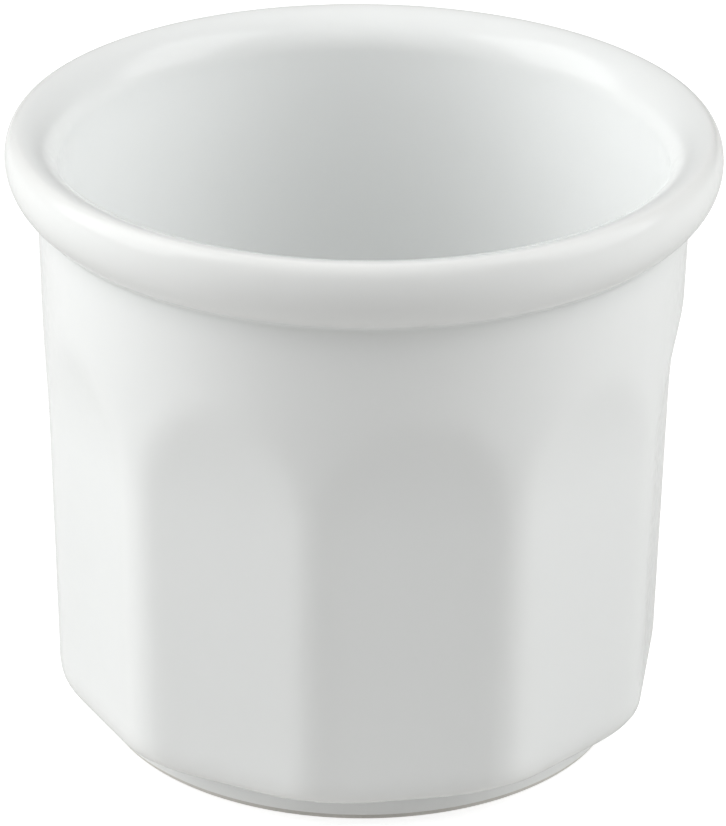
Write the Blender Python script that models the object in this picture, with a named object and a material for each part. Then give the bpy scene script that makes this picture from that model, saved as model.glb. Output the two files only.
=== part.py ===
"""Ten-sided porcelain cup for pens, with a rolled rim and a foot ring. Sizes are in metres and +Z is up.

It has three pieces: the fired porcelain body, the glaze fused over its inside, rim and outside, and the glaze
patch under its base. The foot ring's bearing face is bare porcelain. The origin is the middle of that face, one
facet is square to -Y, and two ridges lie on the X axis.

A piece is turned from a closed outline, and then each ring of its outside is pressed from round into ten flats.
"""

import math

import bmesh
import bpy
from mathutils import Vector

MM = 0.001

# Rim: a rolled bead whose outer, upper and inner sides are quarters of ellipses.
HEIGHT = 78.6 * MM
RIM_RADIUS = 44.0 * MM
BEAD_WIDEST_Z = 75.4 * MM
BEAD_CENTRE_RADIUS = 36.5 * MM
BEAD_DROP = 6.9 * MM
CROWN_RADIUS = 42.3 * MM
MOUTH_RADIUS = 37.5 * MM
MOUTH_Z = 73.6 * MM

# Outside wall: a cone cut by ten planes, which lean outwards above BLEND_Z and so end in arches.
SIDES = 10
COLLAR_Z = 68.5 * MM
COLLAR_RADIUS = 40.1 * MM
CREASE_FILLET = 1.2 * MM
HIP_Z = 9.7 * MM
HIP_RADIUS = 38.6 * MM
HIP_FLAT = 37.1 * MM
HIP_SQUARENESS = 3.0
FLAT_LEAN = 0.022
BLEND_Z = 41.0 * MM
BLEND_CURVE = 70.0 * MM
RIDGE_SOFTNESS = 1.3 * MM
ARCH_SOFTNESS = 0.5 * MM

# Foot and underside.
FOOT_RADIUS = 33.3 * MM
FOOT_HEIGHT = 3.9 * MM
FOOT_FILLET = 0.5 * MM
FOOT_INNER_RADIUS = 29.4 * MM
FOOT_EDGE = 0.4 * MM
RECESS_Z = 2.4 * MM
BARE_HEIGHT = 0.9 * MM

# Inside.
WELL_RADIUS = 32.8 * MM
WELL_CORNER = 8.0 * MM
FLOOR_Z = 7.0 * MM

# The glaze, and the gap that keeps its mesh off the body's.
GLAZE = 0.34 * MM
GAP = 0.06 * MM

# How finely the outline and the turn are divided.
STEPS = 6 * SIDES
CORNER_STEPS = 2
HIP_STEPS = 6
BLEND_STEPS = 7
CREASE_STEPS = 3
BEAD_STEPS = 5
CROWN_STEPS = 4
WELL_STEPS = 4

ROUND = 1.0  # a flat this far out never cuts the wall
MERGE = 1e-7
SHARP_ANGLE = math.radians(40)


def soft_min(a, b, softness):
    """The smaller of two lengths, with a rounded change from one to the other."""
    overlap = max(softness - abs(a - b), 0.0) / softness
    return min(a, b) - softness * overlap * overlap / 4


def pressed_radius(angle, radius, flat):
    """The wall's radius at an angle from a ridge, from the cone's radius and the facet planes' distance."""
    side = math.tau / SIDES
    from_middle = abs((angle % side) - side / 2)
    facets = soft_min(flat / math.cos(from_middle), flat / math.cos(side - from_middle), RIDGE_SOFTNESS)
    return soft_min(facets, radius, ARCH_SOFTNESS)


def arc(centre, radii, start, end, count):
    """Round points of an ellipse's arc about (radius, height), with the angles in degrees."""
    points = []
    for i in range(count + 1):
        angle = math.radians(start + (end - start) * i / count)
        points.append((centre[0] + radii[0] * math.cos(angle), centre[1] + radii[1] * math.sin(angle), ROUND))
    return points


def wall_point(z):
    """The cone's radius and the flats' distance at a height."""
    share = (z - HIP_Z) / (COLLAR_Z - HIP_Z)
    flare = max(z - BLEND_Z, 0.0) ** 2 / (2 * BLEND_CURVE)
    return (HIP_RADIUS + (COLLAR_RADIUS - HIP_RADIUS) * share, z, HIP_FLAT + FLAT_LEAN * (z - HIP_Z) + flare)


def hip():
    """The wall's bottom, a squarish quarter of an ellipse where the facets run out into the round foot."""
    start = FOOT_RADIUS + FOOT_FILLET
    power = 2 / HIP_SQUARENESS
    points = []
    for i in range(1, HIP_STEPS):
        angle = math.pi / 2 * i / HIP_STEPS
        out, up = math.sin(angle) ** power, 1 - math.cos(angle) ** power
        radius = start + (HIP_RADIUS - start) * out
        flat = start + ARCH_SOFTNESS * (1 - out) + (HIP_FLAT - start) * out
        points.append((radius, FOOT_HEIGHT + (HIP_Z - FOOT_HEIGHT) * up, flat))
    return points


def wall():
    """The wall from the hip to the collar's top."""
    heights = [BLEND_Z + (COLLAR_Z - BLEND_Z) * i / BLEND_STEPS for i in range(BLEND_STEPS + 1)]
    return [wall_point(z) for z in [HIP_Z, (HIP_Z + BLEND_Z) / 2] + heights]


def crease():
    """The fillet where the collar meets the bead's underside: its points and the bead's angle at its end."""
    across, down = RIM_RADIUS - BEAD_CENTRE_RADIUS, BEAD_DROP
    centre_radius = COLLAR_RADIUS + CREASE_FILLET
    angle = math.acos((centre_radius - BEAD_CENTRE_RADIUS) / (across + CREASE_FILLET))
    centre_z = BEAD_WIDEST_Z - (down + CREASE_FILLET) * math.sin(angle)
    end = math.degrees(angle)
    return arc((centre_radius, centre_z), (CREASE_FILLET, CREASE_FILLET), 180, 180 - end, CREASE_STEPS), -end


def outside():
    """The glazed surface from the edge of the bare foot up to the bead's widest ring."""
    foot_corner = (FOOT_RADIUS + FOOT_FILLET, FOOT_HEIGHT - FOOT_FILLET)
    fillet, bead_start = crease()
    underside = (RIM_RADIUS - BEAD_CENTRE_RADIUS, BEAD_DROP)
    return (
        [(FOOT_RADIUS, BARE_HEIGHT, ROUND)]
        + arc(foot_corner, (FOOT_FILLET, FOOT_FILLET), 180, 90, CORNER_STEPS)
        + hip()
        + wall()
        + fillet[1:]
        + arc((BEAD_CENTRE_RADIUS, BEAD_WIDEST_Z), underside, bead_start, 0, BEAD_STEPS)[1:]
    )


def inside():
    """The glazed surface from the bead's widest ring over the rim and down to the floor's middle."""
    outer = (RIM_RADIUS - CROWN_RADIUS, HEIGHT - BEAD_WIDEST_Z)
    inner = (CROWN_RADIUS - MOUTH_RADIUS, HEIGHT - MOUTH_Z)
    corner = (WELL_RADIUS - WELL_CORNER, FLOOR_Z + WELL_CORNER)
    return (
        arc((CROWN_RADIUS, BEAD_WIDEST_Z), outer, 0, 90, CROWN_STEPS)[1:]
        + arc((CROWN_RADIUS, MOUTH_Z), inner, 90, 180, CROWN_STEPS)[1:]
        + arc(corner, (WELL_CORNER, WELL_CORNER), 0, -90, WELL_STEPS)
        + [(0.0, FLOOR_Z, ROUND)]
    )


def recess():
    """The glazed surface under the base, from the recess's middle out to the edge of the bare foot."""
    corner = (FOOT_INNER_RADIUS - FOOT_FILLET, RECESS_Z - FOOT_FILLET)
    return (
        [(0.0, RECESS_Z, ROUND)]
        + arc(corner, (FOOT_FILLET, FOOT_FILLET), 90, 0, CORNER_STEPS)
        + [(FOOT_INNER_RADIUS, BARE_HEIGHT, ROUND)]
    )


def inset(points, depth):
    """The outline moved into the material, which lies to its left, with points on the axis kept there."""
    moved = []
    for i, (radius, z, flat) in enumerate(points):
        ways = []
        for a, b in ((i - 1, i), (i, i + 1)):
            if a >= 0 and b < len(points):
                way = Vector((points[b][0] - points[a][0], points[b][1] - points[a][1])).normalized()
                ways.append(Vector((-way.y, way.x)))
        inward = (ways[0] + ways[-1]).normalized()
        step = inward * depth / inward.dot(ways[0])
        moved.append((radius + step.x if radius > 0 else 0.0, z + step.y, flat + step.x))
    return moved


def bare_foot():
    """The body's ring below the glazes, from its inner side round to its outer side."""
    depth = GLAZE + GAP
    inner = (FOOT_INNER_RADIUS + depth + FOOT_EDGE, FOOT_EDGE)
    outer = (FOOT_RADIUS - depth - FOOT_EDGE, FOOT_EDGE)
    edge = (FOOT_EDGE, FOOT_EDGE)
    return arc(inner, edge, 180, 270, CORNER_STEPS) + arc(outer, edge, 270, 360, CORNER_STEPS)


def turn(name, outline, material):
    """One closed piece turned from an outline that starts and ends on the axis.

    Its quads are split across their shorter diagonals, so that facing surfaces of two pieces split alike.
    """
    shape = bmesh.new()
    flats = shape.verts.layers.float.new("flat")
    ring = []
    for radius, z, flat in outline:
        vert = shape.verts.new((radius, 0.0, z))
        vert[flats] = flat
        ring.append(vert)
    edges = [shape.edges.new(pair) for pair in zip(ring, ring[1:])]
    bmesh.ops.spin(
        shape,
        geom=ring + edges,
        cent=(0, 0, 0),
        axis=(0, 0, 1),
        angle=math.tau,
        steps=STEPS,
        use_merge=True,
    )
    bmesh.ops.remove_doubles(shape, verts=shape.verts, dist=MERGE)
    for vert in shape.verts:
        radius = math.hypot(vert.co.x, vert.co.y)
        if radius > MERGE and vert[flats] < ROUND / 2:
            angle = math.atan2(vert.co.y, vert.co.x)
            share = pressed_radius(angle, radius, vert[flats]) / radius
            vert.co.x *= share
            vert.co.y *= share
    bmesh.ops.triangulate(shape, faces=shape.faces, quad_method="SHORT_EDGE")
    bmesh.ops.recalc_face_normals(shape, faces=shape.faces)
    shape.verts.layers.float.remove(shape.verts.layers.float["flat"])
    mesh = bpy.data.meshes.new(name)
    shape.to_mesh(mesh)
    shape.free()
    mesh.materials.append(material)
    mesh.shade_smooth()
    mesh.set_sharp_from_angle(angle=SHARP_ANGLE)
    piece = bpy.data.objects.new(name, mesh)
    bpy.context.scene.collection.objects.link(piece)
    return piece


def ceramic(name, color, roughness):
    """A non-metallic Principled material."""
    material = bpy.data.materials.new(name)
    material.use_nodes = True
    shader = material.node_tree.nodes["Principled BSDF"]
    shader.inputs["Base Color"].default_value = (*color, 1.0)
    shader.inputs["Roughness"].default_value = roughness
    shader.inputs["Metallic"].default_value = 0.0
    return material


def porcelain_body():
    """The fired body: the glazed surfaces inset by the glaze, and the bare foot between them."""
    depth = GLAZE + GAP
    outline = inset(recess(), depth) + bare_foot() + inset(outside() + inside(), depth)
    return turn("porcelain_body", outline, ceramic("bare_porcelain", (0.80, 0.78, 0.74), 0.6))


def glaze_coat():
    """The glaze over the outside, rim and inside."""
    surface = outside() + inside()
    outline = inset(surface, GLAZE)[::-1] + surface
    return turn("glaze_coat", outline, ceramic("white_glaze", (0.86, 0.87, 0.86), 0.1))


def base_glaze():
    """The glaze in the recess, inside the bare ring."""
    surface = recess()
    outline = surface + inset(surface, GLAZE)[::-1]
    return turn("base_glaze", outline, ceramic("base_white_glaze", (0.86, 0.87, 0.86), 0.15))


def main():
    for leftover in list(bpy.data.objects):
        bpy.data.objects.remove(leftover, do_unlink=True)
    for make in (porcelain_body, glaze_coat, base_glaze):
        make()


main()
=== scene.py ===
"""Ten-sided glazed porcelain cup for pens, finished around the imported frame.

The cup is one fired body with a glaze fused over it. Its outside, rim and inside are turned from one outline,
and the outside is then pressed from round into ten flats that end in soft arches under the collar. The foot
ring's bearing face is bare porcelain, and the recess inside it has a glaze patch of its own.
"""

import math

import bmesh
import bpy
import numpy as np
from bpy.props import FloatProperty, FloatVectorProperty, IntProperty, PointerProperty
from bpy.types import Operator, Panel, PropertyGroup
from mathutils import Matrix, Vector


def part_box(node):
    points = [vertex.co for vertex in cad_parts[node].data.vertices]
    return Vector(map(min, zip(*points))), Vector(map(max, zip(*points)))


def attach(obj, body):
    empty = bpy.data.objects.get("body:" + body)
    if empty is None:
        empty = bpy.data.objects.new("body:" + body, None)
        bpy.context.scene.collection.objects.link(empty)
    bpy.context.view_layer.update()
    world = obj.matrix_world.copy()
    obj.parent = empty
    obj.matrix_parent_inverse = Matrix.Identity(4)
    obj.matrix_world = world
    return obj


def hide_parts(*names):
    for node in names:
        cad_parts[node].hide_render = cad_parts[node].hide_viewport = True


bl_info = {
    "name": "Porcelain Pen Cup",
    "version": (1, 0, 0),
    "blender": (4, 5, 0),
    "location": "3D Viewport > Sidebar > Pen Cup",
    "description": "Builds a ten-sided glazed porcelain pen cup with its studio",
    "category": "Add Mesh",
}

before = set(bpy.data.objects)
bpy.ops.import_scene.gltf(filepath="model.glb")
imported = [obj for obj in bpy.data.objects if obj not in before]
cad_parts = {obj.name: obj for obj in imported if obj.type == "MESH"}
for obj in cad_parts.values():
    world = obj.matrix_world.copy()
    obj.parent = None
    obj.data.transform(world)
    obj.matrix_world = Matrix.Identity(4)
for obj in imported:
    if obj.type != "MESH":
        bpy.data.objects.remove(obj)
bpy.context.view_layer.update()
GLAZE_LOW, GLAZE_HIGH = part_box("glaze_coat")
RECESS_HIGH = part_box("base_glaze")[1]

MM = 0.001
SIDES = 10
ROUND = 1.0  # a flat this far out never cuts the wall
MERGE = 1e-7  # metres
RECESS_Z = 2.4 * MM
GLAZE = RECESS_HIGH.z - RECESS_Z

# Steps along the outline, from the foot over the rim to the middle of the floor
BEARING_STEPS = 8
FILLET_STEPS = 6
FOOT_STEPS = 4
HIP_STEPS = 24
WALL_STEPS = 56
CREASE_STEPS = 8
BEAD_STEPS = 20
CROWN_STEPS = 14
LIP_STEPS = 18
WELL_STEPS = 20
CORNER_STEPS = 16
FLOOR_STEPS = 10
RECESS_STEPS = 12

SHARP_ANGLE = math.radians(40)  # faces that meet at more than this are shaded apart

# Glaze
# Vertex mask of glaze depth and painted shade: 1 in hollows, where thick glaze and painted crease shade darken
# the colour, 0 over edges where the glaze ran thin.
DEPTH_AND_SHADE_ATTRIBUTE = "glaze_depth"
SHARPEST_BEND = 150.0  # curvature, per metre, at which the glaze is thinnest or deepest, and the painted crease shade darkest
DEPTH_SMOOTHING = 12
CLOUD_SCALE = 38.0  # blotches of about 25 mm
CLOUD_SHARE = 0.12
GRAIN_SCALE = 900.0  # grain of about 1 mm
GRAIN_ROUGHNESS = 0.05
WAVE_SCALE = 110.0  # ripples of about 10 mm
GLAZE_IOR = 1.5
GLAZE_SPECULAR = 0.27
DEPTH_OF_WHITE = 0.08  # share of the light that scatters under the surface
WHITE_RADIUS = (1.0, 0.95, 0.9)
WHITE_SCALE = 1.5 * MM

# Bare porcelain
MARK_SCALE = 180.0  # marks of about 5 mm
MARK_SHARE = 0.6
SPECK_SCALE = 2600.0  # specks of about 0.4 mm
SPECK_SHARE = 0.25
BARE_ROUGHNESS = (0.55, 0.8)
BARE_GRAIN = 0.03 * MM

# Studio
SOFTBOXES = (  # name, azimuth and elevation in degrees, size in metres, and the property that holds its power
    ("left_softbox", -95, 33, (0.9, 1.0), "left"),
    ("right_softbox", 71, 35, (0.8, 1.0), "right"),
    ("back_softbox", 158, 40, (0.9, 0.8), "back"),
    ("front_softbox", 0, 50, (1.0, 0.8), "front"),
)
SOFTBOX_TINT = (0.988, 1.0, 0.995)
TABLE_REACH = 3.0
TABLE_ROUGHNESS = 0.9
TABLE_Z = -0.05 * MM
TABLE_TONE = (0.5, 0.5, 0.5)
TABLE_GLOW = 1.44
UNDERLAY_Z = -0.5 * MM
UNDERLAY_TONE = (0.406, 0.404, 0.398)
UNDERLAY_MEAN_TONE = 0.4
CLIP_START, CLIP_END = 0.01, 20.0
VIEW_MIDDLE_Z = 39.8 * MM
VIEW_SIDE_STEP = 0.2 * MM


def length(name, description, default):
    """A length property shown in the scene's units."""
    return FloatProperty(name=name, description=description, default=default, min=0.0, subtype="DISTANCE")


def colour(name, description, default):
    """A linear colour property."""
    return FloatVectorProperty(
        name=name, description=description, default=default, size=3, min=0.0, max=1.0, subtype="COLOR"
    )


def watts(name, description, default):
    """A light's power property."""
    return FloatProperty(name=name, description=description, default=default, min=0.0, unit="POWER")


class PenCupShape(PropertyGroup):
    """Sizes of the cup's outline."""

    height: length("Height", "Height of the rim's crown", GLAZE_HIGH.z)
    rim_radius: length("Rim radius", "Widest radius, at the rolled rim", GLAZE_HIGH.x)
    bead_widest_z: length("Bead widest height", "Height of the rim's widest ring", 75.4 * MM)
    bead_centre: length("Bead centre radius", "Radius of the underside arc's centre", 36.5 * MM)
    bead_drop: length("Bead drop", "Depth of the bead's underside arc", 6.9 * MM)
    crown_radius: length("Crown radius", "Radius of the rim's highest ring", 42.3 * MM)
    mouth_radius: length("Mouth radius", "Radius where the rim meets the inside wall", 37.5 * MM)
    mouth_z: length("Mouth height", "Height where the rim meets the inside wall", 73.6 * MM)
    collar_z: length("Collar height", "Height of the round collar's top", 68.5 * MM)
    collar_radius: length("Collar radius", "Radius of the round collar", 40.1 * MM)
    crease_fillet: length("Crease fillet", "Fillet between collar and bead", 1.2 * MM)
    hip_z: length("Hip height", "Height where the wall's rounded bottom starts", 9.7 * MM)
    hip_radius: length("Hip radius", "Radius of the ridges' cone at the hip", 38.6 * MM)
    hip_flat: length("Hip flat", "Distance of the flats from the axis at the hip", 37.1 * MM)
    hip_squareness: FloatProperty(
        name="Hip squareness", description="2 is an ellipse, more is squarer", default=3.0, min=2.0
    )
    flat_lean: FloatProperty(name="Flat lean", description="Outward lean of the flats", default=0.022)
    blend_z: length("Arch start", "Height where the flats start to curve outwards", 41.0 * MM)
    blend_curve: length("Arch curve", "Radius of the flats' outward curve", 70.0 * MM)
    ridge_softness: length("Ridge softness", "Rounding between neighbouring flats", 1.3 * MM)
    arch_softness: length("Arch softness", "Rounding between flats and collar", 0.5 * MM)
    foot_radius: length("Foot radius", "Outer radius of the glazed foot ring", 33.3 * MM)
    foot_height: length("Foot height", "Height of the foot ring", 3.9 * MM)
    foot_fillet: length("Foot fillet", "Fillets of the foot ring", 0.5 * MM)
    foot_inner: length("Foot inner radius", "Inner radius of the glazed foot ring", 29.4 * MM)
    foot_edge: length("Foot edge", "Rounding of the bare bearing face", 0.4 * MM)
    recess_z: length("Recess height", "Height of the glazed recess", RECESS_Z)
    bare_height: length("Bare height", "Height to which the foot is bare", GLAZE_LOW.z)
    well_radius: length("Well radius", "Inside radius above the floor's corner", 32.8 * MM)
    well_corner: length("Well corner", "Radius of the inside corner", 8.0 * MM)
    floor_z: length("Floor height", "Height of the inside floor", 7.0 * MM)
    glaze: length("Glaze", "Thickness of the glaze", GLAZE)
    gap: length("Gap", "Gap between glaze and body", 0.06 * MM)
    steps_per_side: IntProperty(name="Steps per side", description="Faces across a side", default=20, min=6)


class PenCupFinish(PropertyGroup):
    """Colours and gloss of the glaze and the bare porcelain."""

    glaze: colour("Glaze", "Even glaze", (0.932, 0.940, 0.936))
    # The thick-glaze tone is partly painted shade: darker than the even glaze, it darkens the creases and
    # hollows as their shade would. The random clouds also mix towards it.
    pooled_and_shade: colour("Pooled glaze", "Thick glaze in the creases", (0.868, 0.884, 0.874))
    thin: colour("Thin glaze", "Thin glaze over outward corners", (0.945, 0.940, 0.925))
    bare: colour("Bare porcelain", "Ground bearing face", (0.72, 0.70, 0.66))
    stained: colour("Stained porcelain", "Grey marks of use on the bearing face", (0.62, 0.60, 0.565))
    roughness: FloatProperty(
        name="Glaze roughness",
        description="Least roughness of the glaze",
        default=0.18,
        min=0.0,
        max=1.0,
        subtype="FACTOR",
    )
    waviness: length("Glaze waviness", "Height of the glaze's faint unevenness", 0.05 * MM)


class PenCupStudio(PropertyGroup):
    """The camera and the lights."""

    azimuth: FloatProperty(
        name="Camera azimuth",
        description="Turn of the camera from the front",
        default=math.radians(-10.4),
        subtype="ANGLE",
    )
    elevation: FloatProperty(
        name="Camera elevation",
        description="Angle of the camera above the floor",
        default=math.radians(25.2),
        subtype="ANGLE",
    )
    roll: FloatProperty(name="Camera roll", description="Roll", default=math.radians(0.6), subtype="ANGLE")
    distance: length("Camera distance", "Distance from the cup's middle", 622.0 * MM)
    lens: FloatProperty(name="Lens", description="Focal length in millimetres", default=215.8)
    left: watts("Left softbox", "Power of the softbox on the left", 10.9)
    right: watts("Right softbox", "Power of the softbox on the right", 8.2)
    back: watts("Back softbox", "Power of the softbox above and behind", 0.3)
    front: watts("Front softbox", "Power of the softbox above the front", 0.85)
    room: FloatProperty(name="Room", description="Strength of the room's even light", default=0.05, min=0.0)
    glow: FloatProperty(
        name="Table glow", description="Strength of the light that the table throws back", default=0.27, min=0.0
    )


def soft_min(a, b, softness):
    """The smaller of two lengths, with a rounded change from one to the other."""
    overlap = max(softness - abs(a - b), 0.0) / softness
    return min(a, b) - softness * overlap * overlap / 4


def pressed_radius(shape, angle, radius, flat):
    """The wall's radius at an angle from a ridge, from the cone's radius and the facet planes' distance."""
    side = math.tau / SIDES
    from_middle = abs((angle % side) - side / 2)
    near, far = flat / math.cos(from_middle), flat / math.cos(side - from_middle)
    return soft_min(soft_min(near, far, shape.ridge_softness), radius, shape.arch_softness)


def arc(centre, radii, start, end, count):
    """Round points of an ellipse's arc about (radius, height), with the angles in degrees."""
    points = []
    for i in range(count + 1):
        angle = math.radians(start + (end - start) * i / count)
        points.append((centre[0] + radii[0] * math.cos(angle), centre[1] + radii[1] * math.sin(angle), ROUND))
    return points


def line(start, end, count):
    """Round points between two (radius, height) points, without the ends."""
    shares = [i / count for i in range(1, count)]
    return [(start[0] + (end[0] - start[0]) * t, start[1] + (end[1] - start[1]) * t, ROUND) for t in shares]


def hip(shape):
    """The wall's bottom, a squarish quarter of an ellipse where the facets run out into the round foot."""
    start = shape.foot_radius + shape.foot_fillet
    power = 2 / shape.hip_squareness
    points = []
    for i in range(1, HIP_STEPS):
        angle = math.radians(90 * i / HIP_STEPS)
        out, up = math.sin(angle) ** power, 1 - math.cos(angle) ** power
        radius = start + (shape.hip_radius - start) * out
        flat = start + shape.arch_softness * (1 - out) + (shape.hip_flat - start) * out
        points.append((radius, shape.foot_height + (shape.hip_z - shape.foot_height) * up, flat))
    return points


def wall(shape):
    """The wall from the hip to the collar's top."""
    points = []
    for i in range(WALL_STEPS + 1):
        share = i / WALL_STEPS
        z = shape.hip_z + (shape.collar_z - shape.hip_z) * share
        flare = max(z - shape.blend_z, 0.0) ** 2 / (2 * shape.blend_curve)
        radius = shape.hip_radius + (shape.collar_radius - shape.hip_radius) * share
        points.append((radius, z, shape.hip_flat + shape.flat_lean * (z - shape.hip_z) + flare))
    return points


def crease(shape):
    """The fillet where the collar meets the bead's underside: its points and the bead's angle at its end."""
    fillet = shape.crease_fillet
    centre = shape.collar_radius + fillet
    angle = math.acos((centre - shape.bead_centre) / (shape.rim_radius - shape.bead_centre + fillet))
    centre_z = shape.bead_widest_z - (shape.bead_drop + fillet) * math.sin(angle)
    end = math.degrees(angle)
    return arc((centre, centre_z), (fillet, fillet), 180, 180 - end, CREASE_STEPS), -end


def outside(shape):
    """The glazed surface from the edge of the bare foot up to the bead's widest ring."""
    foot, fillet = shape.foot_radius, shape.foot_fillet
    edge = (foot, shape.bare_height)
    corner = (foot + fillet, shape.foot_height - fillet)
    crease_points, bead_start = crease(shape)
    underside = (shape.rim_radius - shape.bead_centre, shape.bead_drop)
    return (
        [(*edge, ROUND)]
        + line(edge, (foot, corner[1]), FOOT_STEPS)
        + arc(corner, (fillet, fillet), 180, 90, FILLET_STEPS)
        + hip(shape)
        + wall(shape)
        + crease_points[1:]
        + arc((shape.bead_centre, shape.bead_widest_z), underside, bead_start, 0, BEAD_STEPS)[1:]
    )


def inside(shape):
    """The glazed surface from the bead's widest ring over the rim and down to the floor's middle."""
    outer = (shape.rim_radius - shape.crown_radius, shape.height - shape.bead_widest_z)
    inner = (shape.crown_radius - shape.mouth_radius, shape.height - shape.mouth_z)
    mouth = (shape.mouth_radius, shape.mouth_z)
    corner = (shape.well_radius - shape.well_corner, shape.floor_z + shape.well_corner)
    well = (shape.well_radius, corner[1])
    return (
        arc((shape.crown_radius, shape.bead_widest_z), outer, 0, 90, CROWN_STEPS)[1:]
        + arc((shape.crown_radius, shape.mouth_z), inner, 90, 180, LIP_STEPS)[1:]
        + line(mouth, well, WELL_STEPS)
        + arc(corner, (shape.well_corner, shape.well_corner), 0, -90, CORNER_STEPS)
        + line((corner[0], shape.floor_z), (0.0, shape.floor_z), FLOOR_STEPS)
        + [(0.0, shape.floor_z, ROUND)]
    )


def recess(shape):
    """The glazed surface under the base, from the recess's middle out to the edge of the bare foot."""
    inner, fillet = shape.foot_inner, shape.foot_fillet
    corner = (inner - fillet, shape.recess_z - fillet)
    return (
        [(0.0, shape.recess_z, ROUND)]
        + line((0.0, shape.recess_z), (corner[0], shape.recess_z), RECESS_STEPS)
        + arc(corner, (fillet, fillet), 90, 0, FILLET_STEPS)
        + [(inner, shape.bare_height, ROUND)]
    )


def inset(points, depth):
    """The outline moved into the material, which lies to its left, with points on the axis kept there."""
    moved = []
    for i, (radius, z, flat) in enumerate(points):
        ways = []
        for a, b in ((i - 1, i), (i, i + 1)):
            if a >= 0 and b < len(points):
                way = Vector((points[b][0] - points[a][0], points[b][1] - points[a][1])).normalized()
                ways.append(Vector((-way.y, way.x)))
        inward = (ways[0] + ways[-1]).normalized()
        step = inward * depth / inward.dot(ways[0])
        moved.append((radius + step.x if radius > 0 else 0.0, z + step.y, flat + step.x))
    return moved


def bare_foot(shape):
    """The body's ring below the glazes, from its inner side round to its outer side."""
    depth = shape.glaze + shape.gap
    outer, inner = shape.foot_radius - depth, shape.foot_inner + depth
    edge = shape.foot_edge
    left, right = (inner + edge, edge), (outer - edge, edge)
    return (
        arc(left, (edge, edge), 180, 270, FILLET_STEPS)
        + line((left[0], 0.0), (right[0], 0.0), BEARING_STEPS)
        + arc(right, (edge, edge), 270, 360, FILLET_STEPS)
    )


def add_glaze_depth_and_shade(mesh):
    """Stores on the vertices where the glaze lies thick, 1 in hollows, which also marks where crease shade is
    painted, and where it ran thin, 0 over edges.
    """
    count = len(mesh.vertices)
    places, normals = np.empty(count * 3), np.empty(count * 3)
    mesh.vertices.foreach_get("co", places)
    mesh.vertices.foreach_get("normal", normals)
    places, normals = places.reshape(-1, 3), normals.reshape(-1, 3)
    ends = np.empty(len(mesh.edges) * 2, dtype=np.int64)
    mesh.edges.foreach_get("vertices", ends)
    near, far = ends.reshape(-1, 2).T
    way = places[far] - places[near]
    span = np.einsum("ij,ij->i", way, way)
    near_bend = np.einsum("ij,ij->i", way, normals[near]) / span
    far_bend = -np.einsum("ij,ij->i", way, normals[far]) / span
    edges_at = np.bincount(near, minlength=count) + np.bincount(far, minlength=count)
    bend = np.bincount(near, near_bend, count) + np.bincount(far, far_bend, count)
    bend = np.clip(bend / edges_at / SHARPEST_BEND, -1.0, 1.0)
    for _ in range(DEPTH_SMOOTHING):
        around = np.bincount(near, bend[far], count) + np.bincount(far, bend[near], count)
        bend = (bend + around / edges_at) / 2
    depth = mesh.attributes.new(DEPTH_AND_SHADE_ATTRIBUTE, "FLOAT", "POINT")
    depth.data.foreach_set("value", np.clip(0.5 + bend / 2, 0.0, 1.0).astype(np.float32))


def turned_piece(name, shape, outline, material):
    """One closed piece turned from an outline that starts and ends on the axis, riding on the cup's body."""
    mesh_maker = bmesh.new()
    flats = mesh_maker.verts.layers.float.new("flat")
    ring = []
    for radius, z, flat in outline:
        vert = mesh_maker.verts.new((radius, 0.0, z))
        vert[flats] = flat
        ring.append(vert)
    edges = [mesh_maker.edges.new(pair) for pair in zip(ring, ring[1:])]
    bmesh.ops.spin(
        mesh_maker,
        geom=ring + edges,
        cent=(0, 0, 0),
        axis=(0, 0, 1),
        angle=math.tau,
        steps=SIDES * shape.steps_per_side,
        use_merge=True,
    )
    bmesh.ops.remove_doubles(mesh_maker, verts=mesh_maker.verts, dist=MERGE)
    for vert in mesh_maker.verts:
        radius = math.hypot(vert.co.x, vert.co.y)
        if radius > MERGE and vert[flats] < ROUND / 2:
            angle = math.atan2(vert.co.y, vert.co.x)
            share = pressed_radius(shape, angle, radius, vert[flats]) / radius
            vert.co.x *= share
            vert.co.y *= share
    bmesh.ops.recalc_face_normals(mesh_maker, faces=mesh_maker.faces)
    mesh_maker.verts.layers.float.remove(mesh_maker.verts.layers.float["flat"])
    mesh = bpy.data.meshes.new(name)
    mesh_maker.to_mesh(mesh)
    mesh_maker.free()
    mesh.materials.append(material)
    mesh.shade_smooth()
    mesh.set_sharp_from_angle(angle=SHARP_ANGLE)
    add_glaze_depth_and_shade(mesh)
    piece = bpy.data.objects.new(name, mesh)
    bpy.context.scene.collection.objects.link(piece)
    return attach(piece, "root")


def new_material(name):
    """An empty node material with its Principled shader: (material, nodes, links, shader)."""
    material = bpy.data.materials.new(name)
    material.use_nodes = True
    tree = material.node_tree
    return material, tree.nodes, tree.links, tree.nodes["Principled BSDF"]


def noise(nodes, links, coords, scale, detail):
    """The height of a noise on the object's own coordinates."""
    texture = nodes.new("ShaderNodeTexNoise")
    texture.inputs["Scale"].default_value = scale
    texture.inputs["Detail"].default_value = detail
    links.new(coords, texture.inputs["Vector"])
    return texture.outputs["Fac"]


def spread(nodes, links, value, low, high, start=0.35, end=0.65):
    """A value's middle range spread from low to high."""
    mapped = nodes.new("ShaderNodeMapRange")
    for socket, number in (("From Min", start), ("From Max", end), ("To Min", low), ("To Max", high)):
        mapped.inputs[socket].default_value = number
    links.new(value, mapped.inputs["Value"])
    return mapped.outputs["Result"]


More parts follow.
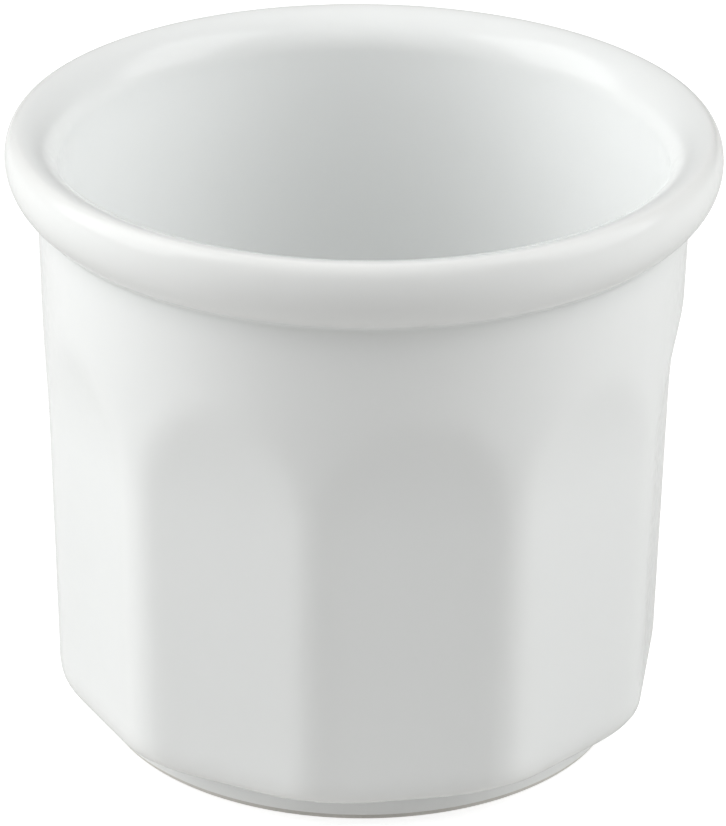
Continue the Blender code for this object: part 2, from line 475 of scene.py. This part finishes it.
def mix(nodes, links, share, first, second):
    """A colour between two colours, each a plain colour or a socket."""
    node = nodes.new("ShaderNodeMix")
    node.data_type = "RGBA"
    links.new(share, node.inputs["Factor"])
    for name, source in (("A", first), ("B", second)):
        socket = next(s for s in node.inputs if s.name == name and s.type == "RGBA")
        if hasattr(source, "is_linked"):
            links.new(source, socket)
        else:
            socket.default_value = (*source, 1.0)
    return next(s for s in node.outputs if s.type == "RGBA")


def bump(nodes, links, shader, height, distance):
    """A bump of a given depth in metres on a shader."""
    node = nodes.new("ShaderNodeBump")
    node.inputs["Strength"].default_value = 1.0
    node.inputs["Distance"].default_value = distance
    links.new(height, node.inputs["Height"])
    links.new(node.outputs["Normal"], shader.inputs["Normal"])


def glaze_material(name, finish):
    """Glossy white glaze, cooler and darker where it lies thick in hollows, which also paints the hollows'
    shade, and warmer where it ran thin.
    """
    material, nodes, links, shader = new_material(name)
    coords = nodes.new("ShaderNodeTexCoord").outputs["Object"]
    # Painted shade: the depth mask turns hollows to the darker thick-glaze tone, which stands partly for thick
    # glaze and partly for the shade in the creases.
    depth = nodes.new("ShaderNodeAttribute")
    depth.attribute_name = DEPTH_AND_SHADE_ATTRIBUTE
    clouds = noise(nodes, links, coords, CLOUD_SCALE, 3.0)
    ramp = nodes.new("ShaderNodeValToRGB")
    ramp.color_ramp.elements[0].color = (*finish.thin, 1.0)
    ramp.color_ramp.elements[1].color = (*finish.pooled_and_shade, 1.0)
    ramp.color_ramp.elements.new(0.5).color = (*finish.glaze, 1.0)
    links.new(depth.outputs["Fac"], ramp.inputs["Fac"])
    clouded = spread(nodes, links, clouds, 0.0, CLOUD_SHARE)
    tone = mix(nodes, links, clouded, ramp.outputs["Color"], finish.pooled_and_shade)
    links.new(tone, shader.inputs["Base Color"])
    grain = noise(nodes, links, coords, GRAIN_SCALE, 2.0)
    low = finish.roughness
    links.new(spread(nodes, links, grain, low, low + GRAIN_ROUGHNESS), shader.inputs["Roughness"])
    waves = noise(nodes, links, coords, WAVE_SCALE, 1.0)
    bump(nodes, links, shader, waves, finish.waviness)
    shader.inputs["IOR"].default_value = GLAZE_IOR
    shader.inputs["Specular IOR Level"].default_value = GLAZE_SPECULAR
    shader.inputs["Subsurface Weight"].default_value = DEPTH_OF_WHITE
    shader.inputs["Subsurface Radius"].default_value = WHITE_RADIUS
    shader.inputs["Subsurface Scale"].default_value = WHITE_SCALE
    return material


def bare_material(finish):
    """Ground, unglazed porcelain: a fine matt grain with grey marks of use."""
    material, nodes, links, shader = new_material("bare_porcelain")
    coords = nodes.new("ShaderNodeTexCoord").outputs["Object"]
    marks = noise(nodes, links, coords, MARK_SCALE, 4.0)
    marked = spread(nodes, links, marks, 0.0, MARK_SHARE, start=0.45, end=0.75)
    tone = mix(nodes, links, marked, finish.bare, finish.stained)
    grain = noise(nodes, links, coords, SPECK_SCALE, 2.0)
    speckled = mix(nodes, links, spread(nodes, links, grain, 0.0, SPECK_SHARE), tone, finish.stained)
    links.new(speckled, shader.inputs["Base Color"])
    links.new(spread(nodes, links, grain, *BARE_ROUGHNESS), shader.inputs["Roughness"])
    bump(nodes, links, shader, grain, BARE_GRAIN)
    return material


class PENCUP_OT_body(Operator):
    """Builds the fired porcelain body with its bare foot ring"""

    bl_idname = "pencup.body"
    bl_label = "Porcelain Body"
    bl_options = {"REGISTER", "UNDO"}

    def execute(self, context):
        shape, finish = context.scene.pencup_shape, context.scene.pencup_finish
        depth = shape.glaze + shape.gap
        glazed = inset(outside(shape) + inside(shape), depth)
        outline = inset(recess(shape), depth) + bare_foot(shape) + glazed
        piece = turned_piece("fired_body", shape, outline, bare_material(finish))
        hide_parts("porcelain_body")
        return {"FINISHED"}


class PENCUP_OT_glaze(Operator):
    """Builds the glaze over the outside, rim and inside"""

    bl_idname = "pencup.glaze"
    bl_label = "Glaze Coat"
    bl_options = {"REGISTER", "UNDO"}

    def execute(self, context):
        shape, finish = context.scene.pencup_shape, context.scene.pencup_finish
        surface = outside(shape) + inside(shape)
        outline = inset(surface, shape.glaze)[::-1] + surface
        piece = turned_piece("glaze_skin", shape, outline, glaze_material("white_glaze", finish))
        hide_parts("glaze_coat")
        return {"FINISHED"}


class PENCUP_OT_base_glaze(Operator):
    """Builds the glaze in the recess under the base"""

    bl_idname = "pencup.base_glaze"
    bl_label = "Base Glaze"
    bl_options = {"REGISTER", "UNDO"}

    def execute(self, context):
        shape, finish = context.scene.pencup_shape, context.scene.pencup_finish
        surface = recess(shape)
        outline = surface + inset(surface, shape.glaze)[::-1]
        piece = turned_piece("recess_glaze", shape, outline, glaze_material("base_white_glaze", finish))
        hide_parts("base_glaze")
        return {"FINISHED"}


def aim(target_object, place, target):
    """Puts an object at a place, with its -Z towards the target."""
    way = Vector(target) - Vector(place)
    turn = way.to_track_quat("-Z", "Y").to_matrix().to_4x4()
    target_object.matrix_world = Matrix.Translation(place) @ turn


def softbox(name, azimuth, elevation, size, power):
    """A rectangular area light one metre from the cup's middle, which it faces. Its angles are in degrees."""
    light = bpy.data.lights.new(name, "AREA")
    light.shape = "RECTANGLE"
    light.size, light.size_y = size
    light.energy = power
    light.color = SOFTBOX_TINT
    lamp = bpy.data.objects.new(name, light)
    lamp.visible_camera = False
    bpy.context.scene.collection.objects.link(lamp)
    turn, lift = math.radians(azimuth), math.radians(elevation)
    place = Vector((math.sin(turn) * math.cos(lift), -math.cos(turn) * math.cos(lift), math.sin(lift)))
    middle = Vector((0.0, 0.0, GLAZE_HIGH.z / 2))
    aim(lamp, middle + place, middle)


class PENCUP_OT_studio(Operator):
    """Sets up the table, the softboxes, the room and the camera"""

    bl_idname = "pencup.studio"
    bl_label = "Studio"
    bl_options = {"REGISTER", "UNDO"}

    def execute(self, context):
        studio = context.scene.pencup_studio
        add_table(studio)
        for name, azimuth, elevation, size, power in SOFTBOXES:
            softbox(name, azimuth, elevation, size, getattr(studio, power))
        add_world(studio)
        add_camera(studio)
        context.scene.view_settings.view_transform = "Standard"
        return {"FINISHED"}


def table_sheet(name, z, tone, glow):
    """A wide flat sheet of the table, with a glow of its own."""
    maker = bmesh.new()
    level = Matrix.Translation((0, 0, z))
    bmesh.ops.create_grid(maker, x_segments=1, y_segments=1, size=TABLE_REACH, matrix=level)
    mesh = bpy.data.meshes.new(name)
    maker.to_mesh(mesh)
    maker.free()
    material, _, _, shader = new_material(name)
    shader.inputs["Base Color"].default_value = (*tone, 1.0)
    shader.inputs["Roughness"].default_value = TABLE_ROUGHNESS
    shader.inputs["Specular IOR Level"].default_value = 0.0
    shader.inputs["Emission Color"].default_value = (*tone, 1.0)
    shader.inputs["Emission Strength"].default_value = glow
    mesh.materials.append(material)
    sheet = bpy.data.objects.new(name, mesh)
    bpy.context.scene.collection.objects.link(sheet)
    return sheet


def add_table(studio):
    """A white table top that shows, over a greyer one that only throws light back onto the cup."""
    top = table_sheet("studio_table", TABLE_Z, TABLE_TONE, TABLE_GLOW)
    top.visible_diffuse = top.visible_glossy = top.visible_transmission = top.visible_shadow = False
    under = table_sheet("studio_underlay", UNDERLAY_Z, UNDERLAY_TONE, studio.glow / UNDERLAY_MEAN_TONE)
    under.visible_camera = False


def add_world(studio):
    """A dim, even surrounding."""
    world = bpy.data.worlds.new("studio_room")
    world.use_nodes = True
    background = world.node_tree.nodes["Background"]
    background.inputs["Color"].default_value = (1.0, 1.0, 1.0, 1.0)
    background.inputs["Strength"].default_value = studio.room
    bpy.context.scene.world = world


def add_camera(studio):
    """A long lens above the rim, turned a little to the left of the front."""
    data = bpy.data.cameras.new("studio_camera")
    data.lens = studio.lens
    data.clip_start, data.clip_end = CLIP_START, CLIP_END
    camera = bpy.data.objects.new("studio_camera", data)
    bpy.context.scene.collection.objects.link(camera)
    flat = math.cos(studio.elevation) * studio.distance
    middle = Vector((0.0, 0.0, VIEW_MIDDLE_Z))
    side = Vector((math.cos(studio.azimuth), math.sin(studio.azimuth), 0.0)) * VIEW_SIDE_STEP
    place = Vector((math.sin(studio.azimuth) * flat, -math.cos(studio.azimuth) * flat, 0.0)) + middle
    place.z += math.sin(studio.elevation) * studio.distance
    aim(camera, place + side, middle + side)
    camera.matrix_world = camera.matrix_world @ Matrix.Rotation(studio.roll, 4, "Z")
    bpy.context.scene.camera = camera


class PENCUP_PT_panel(Panel):
    """Lists the cup's parts and the studio"""

    bl_idname = "PENCUP_PT_panel"
    bl_label = "Pen Cup"
    bl_space_type = "VIEW_3D"
    bl_region_type = "UI"
    bl_category = "Pen Cup"

    def draw(self, context):
        for operator in OPERATORS:
            self.layout.operator(operator.bl_idname)


OPERATORS = (PENCUP_OT_body, PENCUP_OT_glaze, PENCUP_OT_base_glaze, PENCUP_OT_studio)
GROUPS = (("pencup_shape", PenCupShape), ("pencup_finish", PenCupFinish), ("pencup_studio", PenCupStudio))


def register():
    for name, group in GROUPS:
        bpy.utils.register_class(group)
        setattr(bpy.types.Scene, name, PointerProperty(type=group))
    for operator in OPERATORS:
        bpy.utils.register_class(operator)
    bpy.utils.register_class(PENCUP_PT_panel)


def unregister():
    bpy.utils.unregister_class(PENCUP_PT_panel)
    for operator in reversed(OPERATORS):
        bpy.utils.unregister_class(operator)
    for name, group in reversed(GROUPS):
        delattr(bpy.types.Scene, name)
        bpy.utils.unregister_class(group)


def main():
    register()
    bpy.ops.pencup.body()
    bpy.ops.pencup.glaze()
    bpy.ops.pencup.base_glaze()
    bpy.ops.pencup.studio()


if __name__ == "__main__":
    main()
